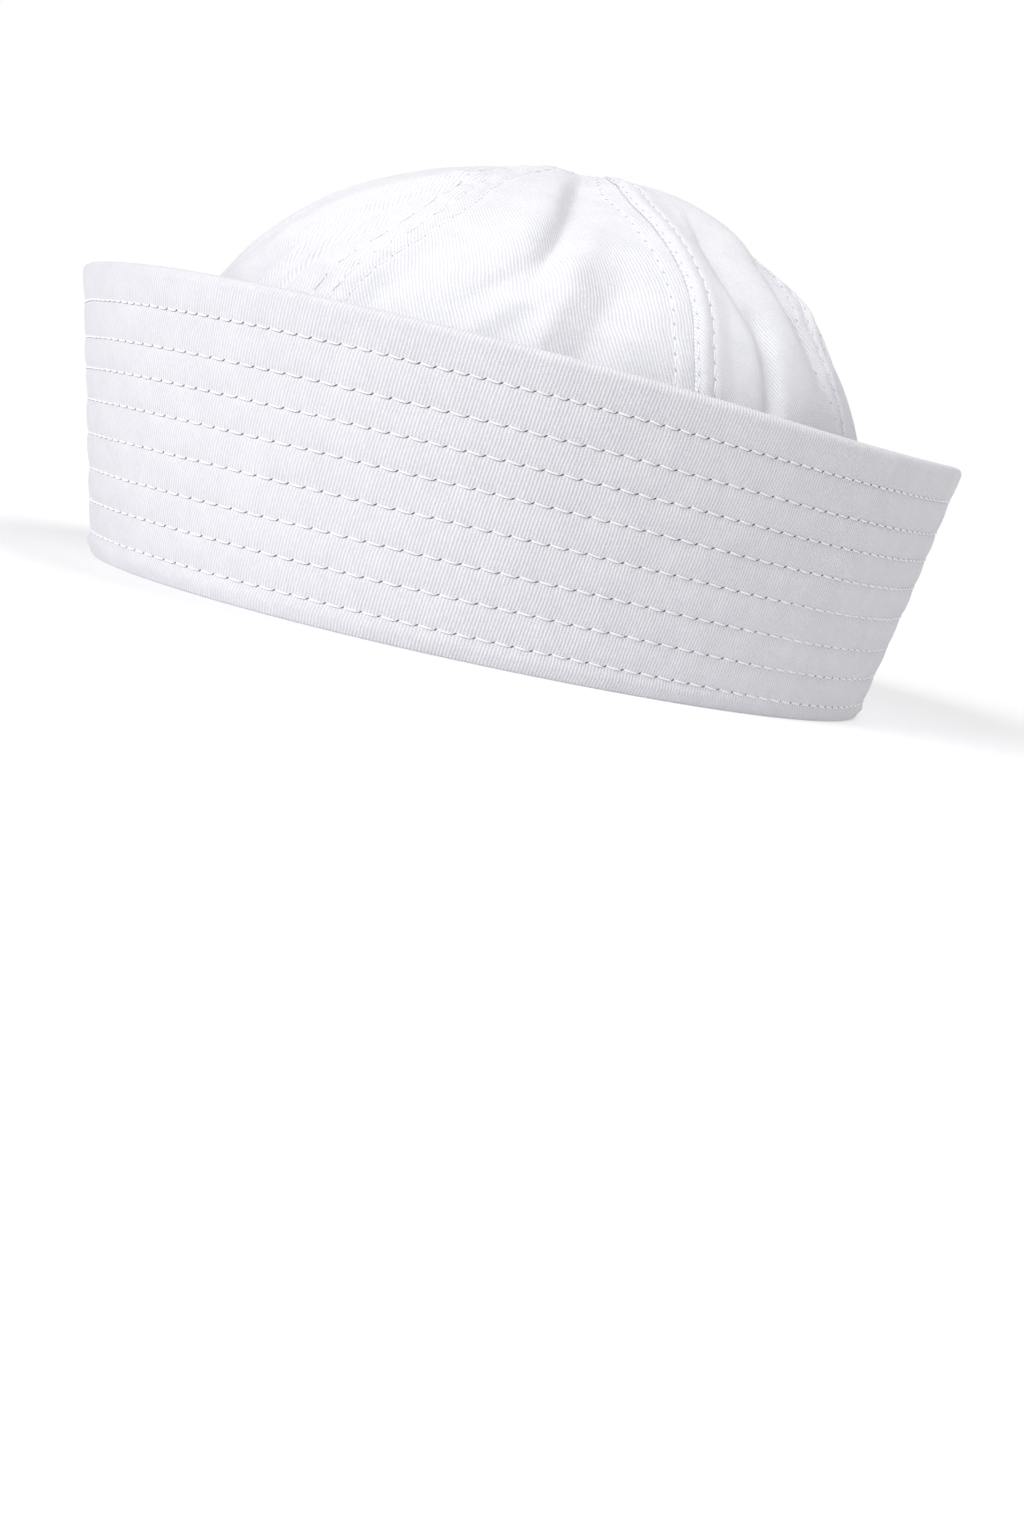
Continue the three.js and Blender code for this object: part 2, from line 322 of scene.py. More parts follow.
def brim_section():
    """The section as (share of the height, offset outwards, height added, how much relief it takes)."""
    section = [
        (0, -HEM_ROUNDING, 0, 0),
        (0, -HEM_ROUNDING * 0.55, 0.12 * HEM_ROUNDING, 0),
        (0, -HEM_ROUNDING * 0.2, 0.5 * HEM_ROUNDING, 0),
        (0, 0, 1.1 * HEM_ROUNDING, EDGE_RELIEF),
    ]
    section += [(share, 0, 0, 1) for share in wall_shares(OUTSIDE_STEPS)]
    for step in range(RIM_STEPS + 1):
        angle = math.pi * step / RIM_STEPS
        share = 1 + RIM_ROUND * (math.sin(angle) - 1) / BRIM_HEIGHT
        section.append((share, RIM_ROUND * (math.cos(angle) - 1), 0, EDGE_RELIEF))
    for share in reversed(wall_shares(INSIDE_STEPS)):
        puff = (2 * RIM_ROUND - BRIM_WALL) * fade(RIM_PUFF_START, 1, share)
        section.append((share, -BRIM_WALL - puff, 0, -1))
    section += [
        (0, -BRIM_WALL, HEM_FLOOR, 0),
        (0, -HEM_OUTSIDE, HEM_FLOOR, 0),
        (0, -HEM_OUTSIDE, HEM_HEIGHT - HEM_WALL / 2, 0),
        (0, -HEM_OUTSIDE - HEM_WALL / 2, HEM_HEIGHT, 0),
        (0, -HEM_OUTSIDE - HEM_WALL, HEM_HEIGHT - HEM_WALL / 2, 0),
        (0, -HEM_OUTSIDE - HEM_WALL, HEM_WALL, 0),
        (0, -HEM_OUTSIDE - HEM_WALL / 2, 0, 0),
    ]
    return section


SECTION = brim_section()
print("the brim's section has", len(SECTION), "points")

# %% [markdown]
# ## The cut of the cloth
#
# Twill has fine diagonal ribs, and their slope shows how each piece was cut. On the brim the ribs stand
# upright at one place and lean more and more further round, because a flat arc was bent into a ring. A UV
# map called cut lays each piece back on the flat cloth, in metres, so that one straight weave gives the
# right slope everywhere.

# %% Lay the brim back on the flat cloth
CONE_TURN = 0.142
UPRIGHT_BEARING = 95
CONE_REACH = (HALF_LENGTH + HALF_WIDTH) / 2 / CONE_TURN


def along_section():
    """How far along the cloth each point of the section is."""
    lengths = [0.0]
    for here, there in zip(SECTION, SECTION[1:] + SECTION[:1]):
        rise = (there[0] - here[0]) * BRIM_HEIGHT + there[2] - here[2]
        lengths.append(lengths[-1] + math.hypot(rise, there[1] - here[1]))
    return lengths


def brim_cut(bearing, length):
    """Place on the flat cloth of a point of the brim, from its bearing and length along the section."""
    turn = math.radians(bearing - UPRIGHT_BEARING) * CONE_TURN
    reach = CONE_REACH + length
    return Vector((reach * math.sin(turn), reach * math.cos(turn) - CONE_REACH))


def grid_mesh(columns, rows, shape):
    """A grid bent to its place: shape(column, row) gives a point's place and its place on the flat cloth."""
    mesh = bmesh.new()
    bmesh.ops.create_grid(mesh, x_segments=columns - 1, y_segments=rows - 1, size=0.5)
    cut = mesh.loops.layers.uv.new("cut")
    flat = {}
    for vert in mesh.verts:
        column = round((vert.co.x + 0.5) * (columns - 1))
        row = round((vert.co.y + 0.5) * (rows - 1))
        vert.co, flat[vert] = shape(column, row)
    for face in mesh.faces:
        for loop in face.loops:
            loop[cut].uv = flat[loop.vert]
    return mesh


print("reach of the brim's flat arc:", round(CONE_REACH / MM), "mm")

# %% [markdown]
# ## Bending the grid
#
# Sewing closes a flat strip into a ring, and so does this step: each point of the grid takes its place in
# the wall from the section and its relief from the quilting. The ends meet at the back, where a real brim
# has its joining seam, so a shallow groove is left there.

# %% Bend the grid into the brim
SECTION_LENGTHS = along_section()
JOIN_DEPTH = 0.35 * MM


def finished(mesh, name):
    """The mesh data of a finished bmesh."""
    data = bpy.data.meshes.new(name)
    mesh.to_mesh(data)
    mesh.free()
    return data


def finish_piece(mesh, name):
    """A smooth-shaded object at the origin for a finished bmesh."""
    data = finished(mesh, name)
    data.polygons.foreach_set("use_smooth", [True] * len(data.polygons))
    piece = bpy.data.objects.new(name, data)
    bpy.context.scene.collection.objects.link(piece)
    return piece


def brim_point(column, row):
    """Place of a point of the brim's grid, and its place on the flat cloth."""
    bearing = JOIN_BEARING - 360 + 360 * column / BRIM_STEPS
    share, out, lift, relief = SECTION[row % len(SECTION)]
    if relief:
        # The joining seam is a groove one column wide to each side.
        join = JOIN_DEPTH * bell(min(column, BRIM_STEPS - column), 1)
        slack = 1 if share > 0 else abs(relief)
        out += relief * (quilt(bearing, share) - join) + slack * brim_wave(bearing, share)
    return brim_place(bearing, share, out, lift), brim_cut(bearing, SECTION_LENGTHS[row])


def make_brim():
    """The turned-up brim as one closed mesh."""
    mesh = grid_mesh(BRIM_STEPS + 1, len(SECTION) + 1, brim_point)
    edges = [vert for vert in mesh.verts if vert.is_boundary]
    bmesh.ops.remove_doubles(mesh, verts=edges, dist=0.001 * MM)
    bmesh.ops.recalc_face_normals(mesh, faces=mesh.faces[:])
    return finish_piece(mesh, "quilted_brim")


brim = make_brim()
print("brim:", len(brim.data.vertices), "vertices")

# %% [markdown]
# ## The crown's form
#
# A crown of wedges takes the form of a soft dome, upright at the brim and almost flat on top. Its outline
# is a table of shares. A place on it is a bearing and a way: the share of the cloth's length from the
# base to the top.

# %% Sizes of the crown
CROWN_HEIGHT = 107 * MM
LEAN_SIDE = 1.5 * MM
LEAN_BACK = 1 * MM
CROWN_INSET = 2.9 * MM
CLOTH = 0.8 * MM
TOP_HOLE = 0.7 * MM
CROWN = [
    # share of the crown's height, share of its width at the base
    (0.014, 1),
    (0.09, 0.998),
    (0.22, 0.98),
    (0.4, 0.93),
    (0.57, 0.866),
    (0.68, 0.796),
    (0.755, 0.722),
    (0.815, 0.645),
    (0.866, 0.56),
    (0.91, 0.465),
    (0.945, 0.36),
    (0.974, 0.245),
    (0.993, 0.12),
    (1, 0),
]
BASE_LENGTH = HALF_LENGTH - CROWN_INSET
BASE_WIDTH = HALF_WIDTH - CROWN_INSET
BASE_MEAN = (BASE_LENGTH + BASE_WIDTH) / 2
print("base of the crown:", [round(2 * half / MM, 1) for half in (BASE_WIDTH, BASE_LENGTH)], "mm")

# %% [markdown]
# ## The crown's outline
#
# The marks of the table lie at uneven steps along the cloth. Folds and rows of stitching are measured
# along it, so the smooth curve is walked once and marked again at even steps.

# %% The outline at even steps
LINE_STEPS = 600


def crown_line():
    """The outline at even steps along the cloth, as (share of the width, height), and its length."""
    steps = [number / (len(CROWN) - 1) for number in range(len(CROWN))]
    heights = list(zip(steps, (row[0] * CROWN_HEIGHT for row in CROWN)))
    widths = list(zip(steps, (row[1] for row in CROWN)))
    fine = []
    for number in range(LINE_STEPS + 1):
        step = number / LINE_STEPS
        fine.append((through(widths, step), through(heights, step)))
    length = 0.0
    lengths = [0.0]
    for (w0, h0), (w1, h1) in zip(fine, fine[1:]):
        length += math.hypot((w1 - w0) * BASE_MEAN, h1 - h0)
        lengths.append(length)
    even = []
    number = 0
    for step in range(LINE_STEPS + 1):
        goal = length * step / LINE_STEPS
        while number < LINE_STEPS - 1 and lengths[number + 1] < goal:
            number += 1
        share = (goal - lengths[number]) / (lengths[number + 1] - lengths[number])
        (w0, h0), (w1, h1) = fine[number], fine[number + 1]
        even.append((w0 + (w1 - w0) * share, h0 + (h1 - h0) * share))
    return even, length


OUTLINE, CROWN_LENGTH = crown_line()
CROWN_REACH = CROWN_LENGTH - TOP_HOLE
print("cloth from the base to the top of the crown:", round(CROWN_LENGTH / MM, 1), "mm")

# %% [markdown]
# ## A point of the crown
#
# The outline is turned round the oval base, and leans a little to one side and back as it rises. Folds
# and seams are pushed out along the cloth's own outward direction, which two short steps on the surface
# give.


# %% Places and directions on the crown
def crown_ring(way):
    """(share of the width, height) of the crown at a way up its cloth."""
    step = min(max(way * CROWN_REACH / CROWN_LENGTH, 0), 1) * LINE_STEPS
    number = min(int(step), LINE_STEPS - 1)
    (w0, h0), (w1, h1) = OUTLINE[number], OUTLINE[number + 1]
    return w0 + (w1 - w0) * (step - number), h0 + (h1 - h0) * (step - number)


def crown_base(bearing, way):
    """A point of the crown before folds and seams."""
    width, height = crown_ring(way)
    angle = math.radians(bearing)
    lean = (height / CROWN_HEIGHT) ** 2
    x = BASE_WIDTH * width * math.sin(angle) + LEAN_SIDE * lean
    y = -BASE_LENGTH * width * math.cos(angle) + LEAN_BACK * lean
    return Vector((x, y, height))


def crown_normal(bearing, way):
    """Outward direction of the crown before folds and seams."""
    step = 0.003
    low = min(max(way, step), 1 - step)
    across = crown_base(bearing + 0.5, low) - crown_base(bearing - 0.5, low)
    up = crown_base(bearing, low + step) - crown_base(bearing, low - step)
    return across.cross(up).normalized()


def degrees_for(bearing, way, distance):
    """Degrees of bearing that cover a distance across the cloth."""
    width, _ = crown_ring(way)
    angle = math.radians(bearing)
    radius = width * math.hypot(BASE_WIDTH * math.cos(angle), BASE_LENGTH * math.sin(angle))
    return math.degrees(distance / radius)


print("one centimetre at the base is", round(degrees_for(0, 0, 10 * MM), 1), "degrees at the front")

# %% [markdown]
# ## Folds
#
# The thin cloth of the crown has fallen into soft folds that run from the top towards the brim. A fold is
# a line with a soft valley or ridge along it. Each row of the table draws one such line by bearing and
# distance from the top, with its height or depth, and its breadth to either side: a fold is often steep
# on one side only.

# %% The folds of the crown
FOLDS = [
    # height (mm), breadth on its left and right (mm), then bearing and distance from the top (mm) along it
    (-2.9, 2.6, 6.0, ((30, 12), (32, 24), (33, 38), (34, 52), (34, 66), (32, 86))),
    (-1.9, 8.0, 11.0, ((40, 26), (43, 46), (44, 66), (46, 88))),
    (-1.2, 3.0, 3.6, ((33, 58), (32, 72), (29, 80), (25, 86), (20, 92))),
    (0.5, 4.0, 2.6, ((24, 44), (27, 56), (27, 68), (22, 79), (14, 90))),
    (0.9, 3.0, 3.0, ((37, 64), (36, 76), (33, 84), (29, 89), (24, 98))),
    (-0.6, 3.0, 3.0, ((24, 70), (20, 78), (15, 84), (10, 92))),
    (-1.0, 4.0, 7.0, ((49, 64), (48, 74), (45, 84), (42, 96), (40, 108))),
    (1.0, 4.0, 4.0, ((41, 52), (40, 66), (38, 80), (35, 96), (33, 110))),
    (-0.8, 4.0, 4.0, ((14, 74), (10, 86), (6, 100), (4, 112))),
    (-1.3, 2.2, 8.0, ((80, 32), (74, 42), (71, 52), (71, 62), (73, 72), (76, 82))),
    (-1.8, 2.8, 3.4, ((75, 70), (76, 80), (76, 92), (75, 102))),
    (2.5, 13.0, 8.0, ((82, 4), (88, 14), (92, 26), (94, 38), (92, 54))),
    (1.0, 8.0, 4.0, ((88, 40), (85, 54), (84, 66), (85, 80), (88, 98))),
    (-3.4, 3.0, 3.6, ((104, 40), (98, 48), (94, 56), (92, 65), (94, 74), (93, 86))),
    (1.2, 3.0, 7.0, ((106, 50), (104, 62), (104, 74), (106, 90))),
    (-4.4, 12.0, 14.0, ((115, 66), (113, 86), (112, 106), (112, 134))),
    (-1.1, 0.9, 2.6, ((8, 38), (0, 54), (-6, 65), (-14, 74), (-18, 82), (-28, 90))),
    (1.2, 7.0, 1.5, ((4, 34), (-4, 50), (-12, 62), (-20, 72), (-26, 84))),
    (-1.1, 0.9, 2.6, ((-5, 62), (-8, 74), (-9, 84), (-12, 94), (-14, 106))),
    (1.0, 4.0, 1.3, ((-8, 62), (-12, 75), (-14, 86), (-18, 98))),
    (-0.8, 0.8, 2.4, ((2, 66), (-2, 72), (-5, 79), (-9, 84))),
    (2.8, 16.0, 18.0, ((-62, 40), (-60, 72), (-58, 100), (-58, 130))),
    (-1.6, 5.0, 8.0, ((128, 22), (134, 50), (140, 78), (142, 104))),
    (1.0, 5.0, 5.0, ((150, 40), (156, 66), (158, 96))),
    (-1.6, 8.0, 4.0, ((204, 20), (198, 48), (200, 74), (208, 104))),
    (-1.5, 4.0, 9.0, ((222, 34), (216, 60), (220, 92))),
    (-1.8, 7.0, 4.0, ((262, 24), (268, 52), (264, 80), (258, 106))),
    (0.9, 5.0, 5.0, ((284, 40), (280, 68), (284, 98))),
    (-1.3, 4.0, 7.0, ((322, 40), (318, 62), (322, 90))),
]
print(len(FOLDS), "folds")

# %% [markdown]
# ## How a fold shapes the cloth
#
# The crown is laid flat as a round cloth with its top in the middle. There each fold is a chain of short
# straight pieces, and a point is moved by how near it lies to the chain, on which side, and how far
# along: a fold is nothing at its two ends and deepest between them.

# %% Depth of the folds at a place
FOLD_REACH = 2.6
FOLD_ENDS = 0.7


def on_round(bearing, distance):
    """A place on the crown's cloth laid flat: the top in the middle, the front upwards."""
    angle = math.radians(bearing)
    return Vector((distance * math.sin(angle), distance * math.cos(angle)))


def fold_lines():
    """The folds as short straight pieces, with the length of each line up to every piece."""
    lines = []
    for height, left, right, marks in FOLDS:
        points = [on_round(bearing, distance * MM) for bearing, distance in marks]
        pieces = []
        length = 0.0
        for start, end in zip(points, points[1:]):
            reach = (end - start).length
            pieces.append((start, (end - start) / reach, reach, length))
            length += reach
        lines.append((height * MM, left * MM, right * MM, pieces, length))
    return lines


FOLD_LINES = fold_lines()


def fold_offset(bearing, way):
    """How far the folds push the cloth out or in."""
    place = on_round(bearing, CROWN_LENGTH - way * CROWN_REACH)
    offset = 0.0
    for height, left, right, pieces, length in FOLD_LINES:
        nearest = (1.0, 0.0, 0.0)
        for start, along, reach, before in pieces:
            gap = place - start
            step = min(max(gap.dot(along), 0), reach)
            distance = (gap - along * step).length
            if distance < nearest[0]:
                side = gap.x * along.y - gap.y * along.x
                nearest = (distance, side, (before + step) / length)
        distance, side, share = nearest
        breadth = right if side > 0 else left
        if distance < FOLD_REACH * breadth:
            offset += height * bell(distance, breadth) * math.sin(math.pi * share) ** FOLD_ENDS
    return offset


print("straight pieces in the folds:", sum(len(line[3]) for line in FOLD_LINES))

# %% [markdown]
# ## Felled seams
#
# Two wedges meet in a felled seam: the edge of one is folded under and laid over the other, and rows of
# stitching go through both. Here each panel starts with the folded edge, lifted by one cloth, and ends a
# little under the next one. A seam could be a straight line up the dome, but sewn cloth wanders, so each
# seam is a curve with noise.

# %% Where the seams run
SEAMS = [
    # wander, ripple and lift (mm), then (distance from the top in mm, bearing) along the seam
    (1.1, 0.8, 0.95, ((0, 3), (20, 4), (44, 6), (60, 8), (72, 6.5), (80, 3.5), (90, 0.5), (158, 0))),
    (0.4, 0.28, 0.95, ((0, 50), (14, 49), (35, 52.5), (50, 56.5), (60, 59), (75, 60.4), (158, 60))),
    (0.5, 0.35, 0.5, ((0, 120), (30, 119), (45, 114), (56, 107), (68, 100), (80, 98), (94, 99), (158, 107))),
    (0.8, 0.4, 0.9, ((0, 180), (70, 178), (158, 177))),
    (0.7, 0.4, 0.9, ((0, 242), (70, 240), (158, 239))),
    (1.2, 0.5, 0.9, ((0, 302), (70, 301), (158, 300))),
]
SEAM_ROWS = (-4.6 * MM, 0.7 * MM, 4.8 * MM)
WANDER_LENGTH = 13 * MM
WANDER_FINE_LENGTH = 4.2 * MM
WANDER_FINE = 0.35
NARROW = 24 * MM
NARROW_TURN = 48


def seam_bearing(number, way):
    """Bearing of a seam's folded edge at a way up the crown."""
    wander, _, _, marks = SEAMS[number % len(SEAMS)]
    along = way * CROWN_REACH
    bearing = through(marks, (CROWN_LENGTH - along) / MM) + 360 * (number // len(SEAMS))
    swing = noise.noise(Vector((along / WANDER_LENGTH, 7.3 * number % 41, 0)))
    swing += WANDER_FINE * noise.noise(Vector((along / WANDER_FINE_LENGTH, 7.3 * number % 41, 9)))
    calm = fade(0.1, 0.4, way) * (1 - fade(0.75, 0.93, way))
    return bearing + degrees_for(bearing, min(way, 0.97), wander * MM * swing * calm)


def squeeze(way):
    """How much the seam's widths shrink where the wedges run out near the top."""
    width, _ = crown_ring(way)
    return min(width * BASE_MEAN * math.radians(NARROW_TURN) / NARROW, 1)


print("bearings of the seams at the base:", [round(seam_bearing(number, 0)) for number in range(len(SEAMS))])

# %% [markdown]
# ## Beside a seam
#
# A felled seam is thick in the middle, drawn in at each row of stitching, and restless on both sides,
# because the thread is a little shorter than the cloth that it holds. Each of these is a small function
# of the distance to the folded edge, so that they can be tuned one by one and added up.

# %% Ripples, lap and turned edges
RIPPLE_LENGTH = 3.6 * MM
RIPPLE_FINE_LENGTH = 1.9 * MM
RIPPLE_ACROSS = 9 * MM
RIPPLE_FINE_ACROSS = 7 * MM
RIPPLE_SLANT = 0.35
RIPPLE_MIDDLE = -1.5 * MM
RIPPLE_REACH = 6.5 * MM
HELD_WIDTH = 0.9 * MM
EDGE_ROUND = 0.5 * MM
LAP_FLAT = 4 * MM
LAP_END = 11 * MM
LAP_ROLL = 0.3 * MM
LAP_ROLL_MIDDLE = 2.4 * MM
LAP_ROLL_WIDTH = 1.2 * MM
PINCH = 0.26 * MM
PINCH_WIDTH = 0.5 * MM
TURNED_EDGES = 0.32 * MM
TURNED_START = (-5.6 * MM, -4.4 * MM)
TURNED_END = (-0.8 * MM, 0.2 * MM)


def ripple(number, way, side):
    """Ripples that the thread of a seam pulls into the cloth, at a distance to its side."""
    amount = SEAMS[number % len(SEAMS)][1] * MM
    along = way * CROWN_REACH
    slant = along + RIPPLE_SLANT * side
    coarse = Vector((slant / RIPPLE_LENGTH, 3.1 * number, side / RIPPLE_ACROSS))
    fine = Vector((slant / RIPPLE_FINE_LENGTH, 5.7 + 3.1 * number, side / RIPPLE_FINE_ACROSS))
    wave = noise.noise(coarse) + 0.5 * noise.noise(fine)
    reach = bell(side - RIPPLE_MIDDLE, RIPPLE_REACH) * fade(0.06, 0.2, way) * (1 - 0.7 * fade(0.9, 1, way))
    held = max(bell(side - row * squeeze(way), HELD_WIDTH) for row in SEAM_ROWS)
    return amount * wave * reach * (1.1 - 0.85 * held)


def lap_lift(number, side, tight):
    """Lift of the upper panel over the seam: its folded edge is rounded and its rows are drawn in."""
    lift = SEAMS[number][2] * MM * (0.2 + 0.8 * fade(0.15, 0.9, tight))
    edge = math.sqrt(max(1 - (1 - min(side / (EDGE_ROUND * tight), 1)) ** 2, 0))
    ramp = 1 - fade(LAP_FLAT * tight, LAP_END * tight, side)
    pinch = sum(bell(side - row * tight, PINCH_WIDTH * tight) for row in SEAM_ROWS)
    roll = bell(side - LAP_ROLL_MIDDLE * tight, LAP_ROLL_WIDTH * tight)
    return lift * (0.25 + 0.75 * edge) * ramp + (LAP_ROLL * roll - PINCH * pinch) * tight


def under_lift(side, tight):
    """Lift of the lower panel beside the seam, where the turned edges lie beneath it."""
    thick = fade(TURNED_START[0] * tight, TURNED_START[1] * tight, side)
    thick *= 1 - fade(TURNED_END[0] * tight, TURNED_END[1] * tight, side)
    pinch = bell(side - SEAM_ROWS[0] * tight, 1.1 * PINCH_WIDTH * tight)
    return (TURNED_EDGES * thick - PINCH * pinch) * tight


print("lift of the first lap at its middle row:", round(lap_lift(0, SEAM_ROWS[1], 1) / MM, 2), "mm")

# %% [markdown]
# ## A point of a panel
#
# The dome, the folds and the two seams at a panel's sides are now added up, with a slight pillow between
# the seams, as cut cloth has when its edges are held. What belongs to a seam is worked out only near it.

# %% Add up the crown's relief
PILLOW = 1 * MM
FIRST_REACH = 12 * MM
LAST_REACH = 10 * MM


def crown_place(number, bearing, way):
    """A point of a panel's outside: the dome, its folds, and the relief of the seams on both sides."""
    tight = squeeze(way)
    first = seam_bearing(number, way)
    last = seam_bearing(number + 1, way)
    per_degree = 1 / degrees_for(bearing, way, 1)
    from_first = (bearing - first) * per_degree
    from_last = (bearing - last) * per_degree
    pillow = math.sin(math.pi * min(max((bearing - first) / (last - first), 0), 1)) ** 2
    offset = fold_offset(bearing, way) + PILLOW * pillow * math.sin(math.pi * min(way, 1)) ** 2
    offset += ripple(number, way, from_first) + ripple(number + 1, way, from_last)
    if from_first < FIRST_REACH:
        offset += lap_lift(number, from_first, tight)
    if from_last > -LAST_REACH:
        offset += under_lift(from_last, tight)
    return crown_base(bearing, way) + crown_normal(bearing, way) * offset


seam_middle = crown_place(0, seam_bearing(0, 0.5), 0.5)
print("front seam, half way up:", [round(value / MM, 1) for value in seam_middle], "mm")

# %% [markdown]
# ## The panels
#
# A panel is a grid that is bent to its place. The columns of the grid stand close together at the seams,
# where the relief is fine, and further apart between them. A Solidify modifier gives the sheet its
# cloth's thickness.

# %% Bend a grid into each panel
NEAR_FIRST = (0, 0.12, 0.3, 0.55, 0.9, 1.3, 1.8, 2.4, 3, 3.6, 4.1, 4.5, 4.8, 5.1, 5.6, 6.4, 7.5, 8.7, 10)
NEAR_LAST = (-10, -8.4, -7.2, -6.2, -5.5, -5, -4.6, -4.2, -3.6, -2.8, -2, -1.2, -0.5, 0.3, 1.4, 3)
BETWEEN = 76
LOW_ROWS = 16
HIGH_ROWS = 108
LOW_WAY = 0.31
PANEL_TURN = 30


def panel_columns(number, way):
    """Bearings of a panel's columns at a way up the crown."""
    first = seam_bearing(number, way)
    last = seam_bearing(number + 1, way)
    tight = squeeze(way) * MM
    columns = [first + degrees_for(first, way, step * tight) for step in NEAR_FIRST]
    ends = [last + degrees_for(last, way, step * tight) for step in NEAR_LAST]
    gap = ends[0] - columns[-1]
    columns += [columns[-1] + gap * step / BETWEEN for step in range(1, BETWEEN)]
    return columns + ends


def make_panel(number):
    """One wedge of the crown, from the hem to the top."""
    columns = len(NEAR_FIRST) + BETWEEN - 1 + len(NEAR_LAST)
    rows = LOW_ROWS + HIGH_ROWS
    middle = math.radians(PANEL_TURN)
    ways = [LOW_WAY * row / LOW_ROWS for row in range(LOW_ROWS)]
    ways += [LOW_WAY + (1 - LOW_WAY) * row / (HIGH_ROWS - 1) for row in range(HIGH_ROWS)]
    lines = [panel_columns(number, way) for way in ways]

    def panel_point(column, row):
        way = ways[row]
        bearing = lines[row][column]
        centre = (lines[row][0] + lines[row][-1]) / 2
        side = (bearing - centre) / degrees_for(centre, way, 1)
        along = way * CROWN_REACH
        flat = (
            side * math.cos(middle) + along * math.sin(middle),
            along * math.cos(middle) - side * math.sin(middle),
        )
        return crown_place(number, bearing, way), flat

    panel = finish_piece(grid_mesh(columns, rows, panel_point), f"crown_wedge_{number + 1}")
    wall = panel.modifiers.new("cloth", "SOLIDIFY")
    wall.thickness = CLOTH
    wall.offset = -1
    return panel


panels = [make_panel(number) for number in range(len(SEAMS))]
print("panels:", len(panels), "with", len(panels[0].data.vertices), "vertices each")

# %% [markdown]
# ## Thread
#
# A lockstitch shows as a row of short dashes. Each dash rises from one needle hole, lies along the row
# and dips into the next hole. It is shaped once, from a ball with few faces, and copied later.

# %% One stitch
THREAD = 0.4 * MM
THREAD_RISE = 0.6
THREAD_DIVE = 0.8
THREAD_FULLNESS = 0.22
DASH_SLANT = 0.15 * MM
DASH_MIDDLE = 0.49
DASH_HALF = 0.41
DIVE_START = 0.55


def ball(segments, rings, size):
    """A ball stretched to a size, with its poles along X."""
    mesh = bmesh.new()
    poles = Matrix.Rotation(math.pi / 2, 4, "Y")
    bmesh.ops.create_uvsphere(mesh, u_segments=segments, v_segments=rings, radius=1, matrix=poles)
    bmesh.ops.scale(mesh, verts=mesh.verts[:], vec=size)
    return mesh


def dash_slant(share):
    """Height up the cloth of a dash's middle line, for -1 at one end to 1 at the other."""
    return DASH_SLANT * (0.35 * share * share - share)


def stitch_shape(gauge, stand):
    """A dash from hole to hole: X is along it in pitches, Y up the cloth and Z outwards in metres."""
    mesh = ball(6, 8, (1, 1, 1))
    for vert in mesh.verts:
        share = vert.co.x
        girth = max(vert.co.y**2 + vert.co.z**2, 0.0001) ** -THREAD_FULLNESS
        dive = max(abs(share) - DIVE_START, 0) / (1 - DIVE_START)
        vert.co.x = DASH_MIDDLE + DASH_HALF * share
        vert.co.y = vert.co.y * girth * THREAD / 2 + dash_slant(share)
        middle = THREAD * (THREAD_RISE - THREAD_DIVE * dive * dive)
        vert.co.z = vert.co.z * girth * THREAD * THREAD_RISE + middle
    bmesh.ops.scale(mesh, verts=mesh.verts[:], vec=(1, gauge, stand))
    return finished(mesh, "stitch")


print("a dash is", 2 * DASH_HALF, "of the pitch long and", round(THREAD / MM, 2), "mm thick")

# %% [markdown]
# ## Needle holes and shade
#
# The taut thread opens the cloth at each hole, and presses into it under each dash, so that a thin line
# of shade lies there. Dark spots in the material could show this, but they would need a map of every
# stitch. As small flat shapes they are set by the same loop as the thread.

# %% One needle hole and one line of shade
HOLE_LENGTH = 0.54 * MM
HOLE_WIDTH = 0.17 * MM
HOLE_DEPTH = 0.12 * MM
HOLE_LEAN = 38
SHADE_WIDTH = 0.11 * MM
SHADE_DEPTH = 0.09 * MM
SHADE_LIFT = 0.05 * MM
SHADE_DROP = 0.56 * THREAD
SHADE_MIDDLE = 0.6
SHADE_HALF = 0.36


def hole_shape(gauge):
    """A needle hole: a flat pit of shadow that leans from one dash to the next."""
    mesh = ball(6, 4, (HOLE_LENGTH * gauge, HOLE_WIDTH * gauge, HOLE_DEPTH))
    lean = Matrix.Rotation(math.radians(HOLE_LEAN), 4, "Z")
    bmesh.ops.transform(mesh, verts=mesh.verts[:], matrix=lean)
    return finished(mesh, "hole")


def shade_shape():
    """The thin line of shade under a dash, set as the dash is. It follows the tug of the thread."""
    mesh = ball(4, 4, (1, SHADE_WIDTH, SHADE_DEPTH))
    for vert in mesh.verts:
        share = vert.co.x
        vert.co.x = SHADE_MIDDLE + SHADE_HALF * share
        vert.co.y += dash_slant(share) - SHADE_DROP
        vert.co.z += GROOVE_DEPTH * TUG * (1 - math.cos(2 * math.pi * vert.co.x)) + SHADE_LIFT
    return finished(mesh, "shade")


print("a needle hole is", round(2 * HOLE_LENGTH / MM, 2), "mm long at every pitch")

# %% [markdown]
# ## From hole to hole
#
# A dash is set by a matrix whose first axis reaches from one hole to the next, so it stretches with the
# pitch, while a hole keeps its own size. All copies are joined in one mesh, because thousands of objects
# would be slow.


# %% Set copies along a row
def stitch_frame(start, end, outward, stretched):
    """The matrix that sets a shape at the start of a stitch, stretched to its end or not."""
    along = end - start
    up = outward.cross(along).normalized()
    away = along.cross(up).normalized()
    first = along if stretched else along.normalized()
    return Matrix.Translation(start) @ Matrix((first, up, away)).transposed().to_4x4()


def set_copies(name, shape, frames):
    """One object with a copy of a small mesh in each frame."""
    mesh = bmesh.new()
    for _ in frames:
        mesh.from_mesh(shape)
    each = len(shape.vertices)
    for number, vert in enumerate(mesh.verts):
        vert.co = frames[number // each] @ vert.co
    return finish_piece(mesh, name)


